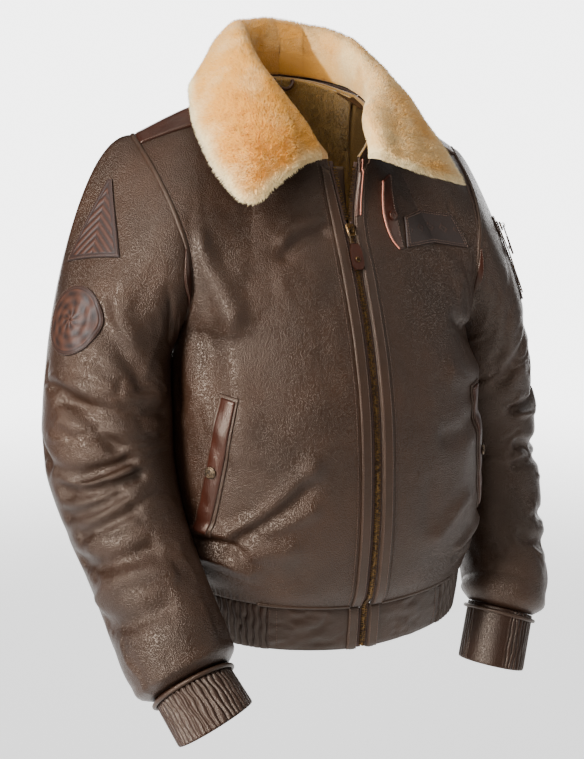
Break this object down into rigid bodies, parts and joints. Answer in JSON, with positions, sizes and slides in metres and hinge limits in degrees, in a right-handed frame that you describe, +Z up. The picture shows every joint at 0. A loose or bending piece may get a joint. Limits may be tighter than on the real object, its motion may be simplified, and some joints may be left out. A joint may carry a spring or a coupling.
{
  "type": "bomber jacket",
  "caption": "Zipped bomber jacket of dark brown faux leather, worn shape and hollow, with a thick pile collar, welt pockets, gathered waistband and cuffs.",
  "frame": {"origin": "middle of the neck opening at the height of the nape, where the wearer's neck and shoulders hold the jacket", "axes": "+X to the wearer's left, +Z up along the body, the front faces -Y"},
  "size_m": [0.7056, 0.3999, 0.8594],
  "materials": {
    "back": "dark brown, pebbled",
    "band_back": "dark brown, pebbled",
    "band_front_left": "dark brown, pebbled",
    "band_front_right": "dark brown, pebbled",
    "band_ribs_left": "dark brown, pebbled",
    "band_ribs_right": "dark brown, pebbled",
    "chest_patch": "dark brown, pebbled",
    "collar": "soft golden pile",
    "cuff_left": "dark brown, pebbled",
    "cuff_right": "dark brown, pebbled",
    "cuff_welt_left": "dark brown, pebbled",
    "cuff_welt_right": "dark brown, pebbled",
    "front_left": "dark brown, pebbled",
    "front_pull_frame": "antique, worn",
    "front_pull_rivet": "antique, worn",
    "front_pull_tab": "reddish brown, glossy",
    "front_right": "dark brown, pebbled",
    "hanger_loop": "reddish brown, glossy",
    "neck_lining": "soft golden pile",
    "patch_round": "reddish brown, glossy",
    "patch_triangle": "reddish brown, glossy",
    "pocket_frame_left": "dark brown, pebbled",
    "pocket_frame_right": "dark brown, pebbled",
    "pocket_snap_left": "dark brown, pebbled",
    "pocket_snap_right": "dark brown, pebbled",
    "pocket_welt_left": "reddish brown, glossy",
    "pocket_welt_right": "reddish brown, glossy",
    "shoulder_band_left": "reddish brown, glossy",
    "shoulder_band_right": "reddish brown, glossy",
    "sleeve_left": "dark brown, pebbled",
    "sleeve_pocket": "dark brown, pebbled",
    "sleeve_pull_frame": "antique, worn",
    "sleeve_pull_rivet": "antique, worn",
    "sleeve_pull_tab": "reddish brown, glossy",
    "sleeve_right": "dark brown, pebbled",
    "sleeve_slider": "antique, worn",
    "sleeve_zip_chain": "antique, worn",
    "throat_snap": "antique, worn",
    "throat_strap": "reddish brown, glossy",
    "underarm_gusset_left": "reddish brown, glossy",
    "underarm_gusset_right": "reddish brown, glossy",
    "wind_flap": "dark brown, pebbled",
    "zip_chain": "antique, worn",
    "zip_facing_left": "dark brown, pebbled",
    "zip_facing_right": "dark brown, pebbled",
    "zip_slider": "antique, worn",
    "zip_tape_left": "dark brown woven tape",
    "zip_tape_right": "dark brown woven tape",
    "zip_teeth_left": "antique, worn",
    "zip_teeth_right": "antique, worn"
  },
  "bodies": {
    "jacket": {"back": "back", "band_back": "band_back", "band_front_left": "band_front_left", "band_front_right": "band_front_right", "band_ribs_left": "band_ribs_left", "band_ribs_right": "band_ribs_right", "chest_patch": "chest_patch", "collar": "collar", "cuff_left": "cuff_left", "cuff_right": "cuff_right", "cuff_welt_left": "cuff_welt_left", "cuff_welt_right": "cuff_welt_right", "front_left": "front_left", "front_right": "front_right", "hanger_loop": "hanger_loop", "neck_lining": "neck_lining", "patch_round": "patch_round", "patch_triangle": "patch_triangle", "pocket_frame_left": "pocket_frame_left", "pocket_frame_right": "pocket_frame_right", "pocket_snap_left": "pocket_snap_left", "pocket_snap_right": "pocket_snap_right", "pocket_welt_left": "pocket_welt_left", "pocket_welt_right": "pocket_welt_right", "shoulder_band_left": "shoulder_band_left", "shoulder_band_right": "shoulder_band_right", "sleeve_left": "sleeve_left", "sleeve_pocket": "sleeve_pocket", "sleeve_right": "sleeve_right", "sleeve_slider": "sleeve_slider", "sleeve_zip_chain": "sleeve_zip_chain", "throat_snap": "throat_snap", "throat_strap": "throat_strap", "underarm_gusset_left": "underarm_gusset_left", "underarm_gusset_right": "underarm_gusset_right", "wind_flap": "wind_flap", "zip_chain": "zip_chain", "zip_facing_left": "zip_facing_left", "zip_facing_right": "zip_facing_right", "zip_slider": "zip_slider", "zip_tape_left": "zip_tape_left", "zip_tape_right": "zip_tape_right", "zip_teeth_left": "zip_teeth_left", "zip_teeth_right": "zip_teeth_right"},
    "front_pull": {"front_pull_frame": "front_pull_frame", "front_pull_tab": "front_pull_tab", "front_pull_rivet": "front_pull_rivet"},
    "sleeve_pull": {"sleeve_pull_frame": "sleeve_pull_frame", "sleeve_pull_tab": "sleeve_pull_tab", "sleeve_pull_rivet": "sleeve_pull_rivet"}
  },
  "joints": [
    {"name": "front_pull_swing", "type": "hinge", "parent": "jacket", "child": "front_pull", "pos_m": [0, -0.13435, -0.18304], "axis": [-0.9994, 0, 0.035], "range_deg": [0, 150]},
    {"name": "sleeve_pull_swing", "type": "hinge", "parent": "jacket", "child": "sleeve_pull", "pos_m": [0.26704, -0.053, -0.19105], "axis": [-0.5774, -0.8165, -0.001], "range_deg": [0, 140]}
  ]
}
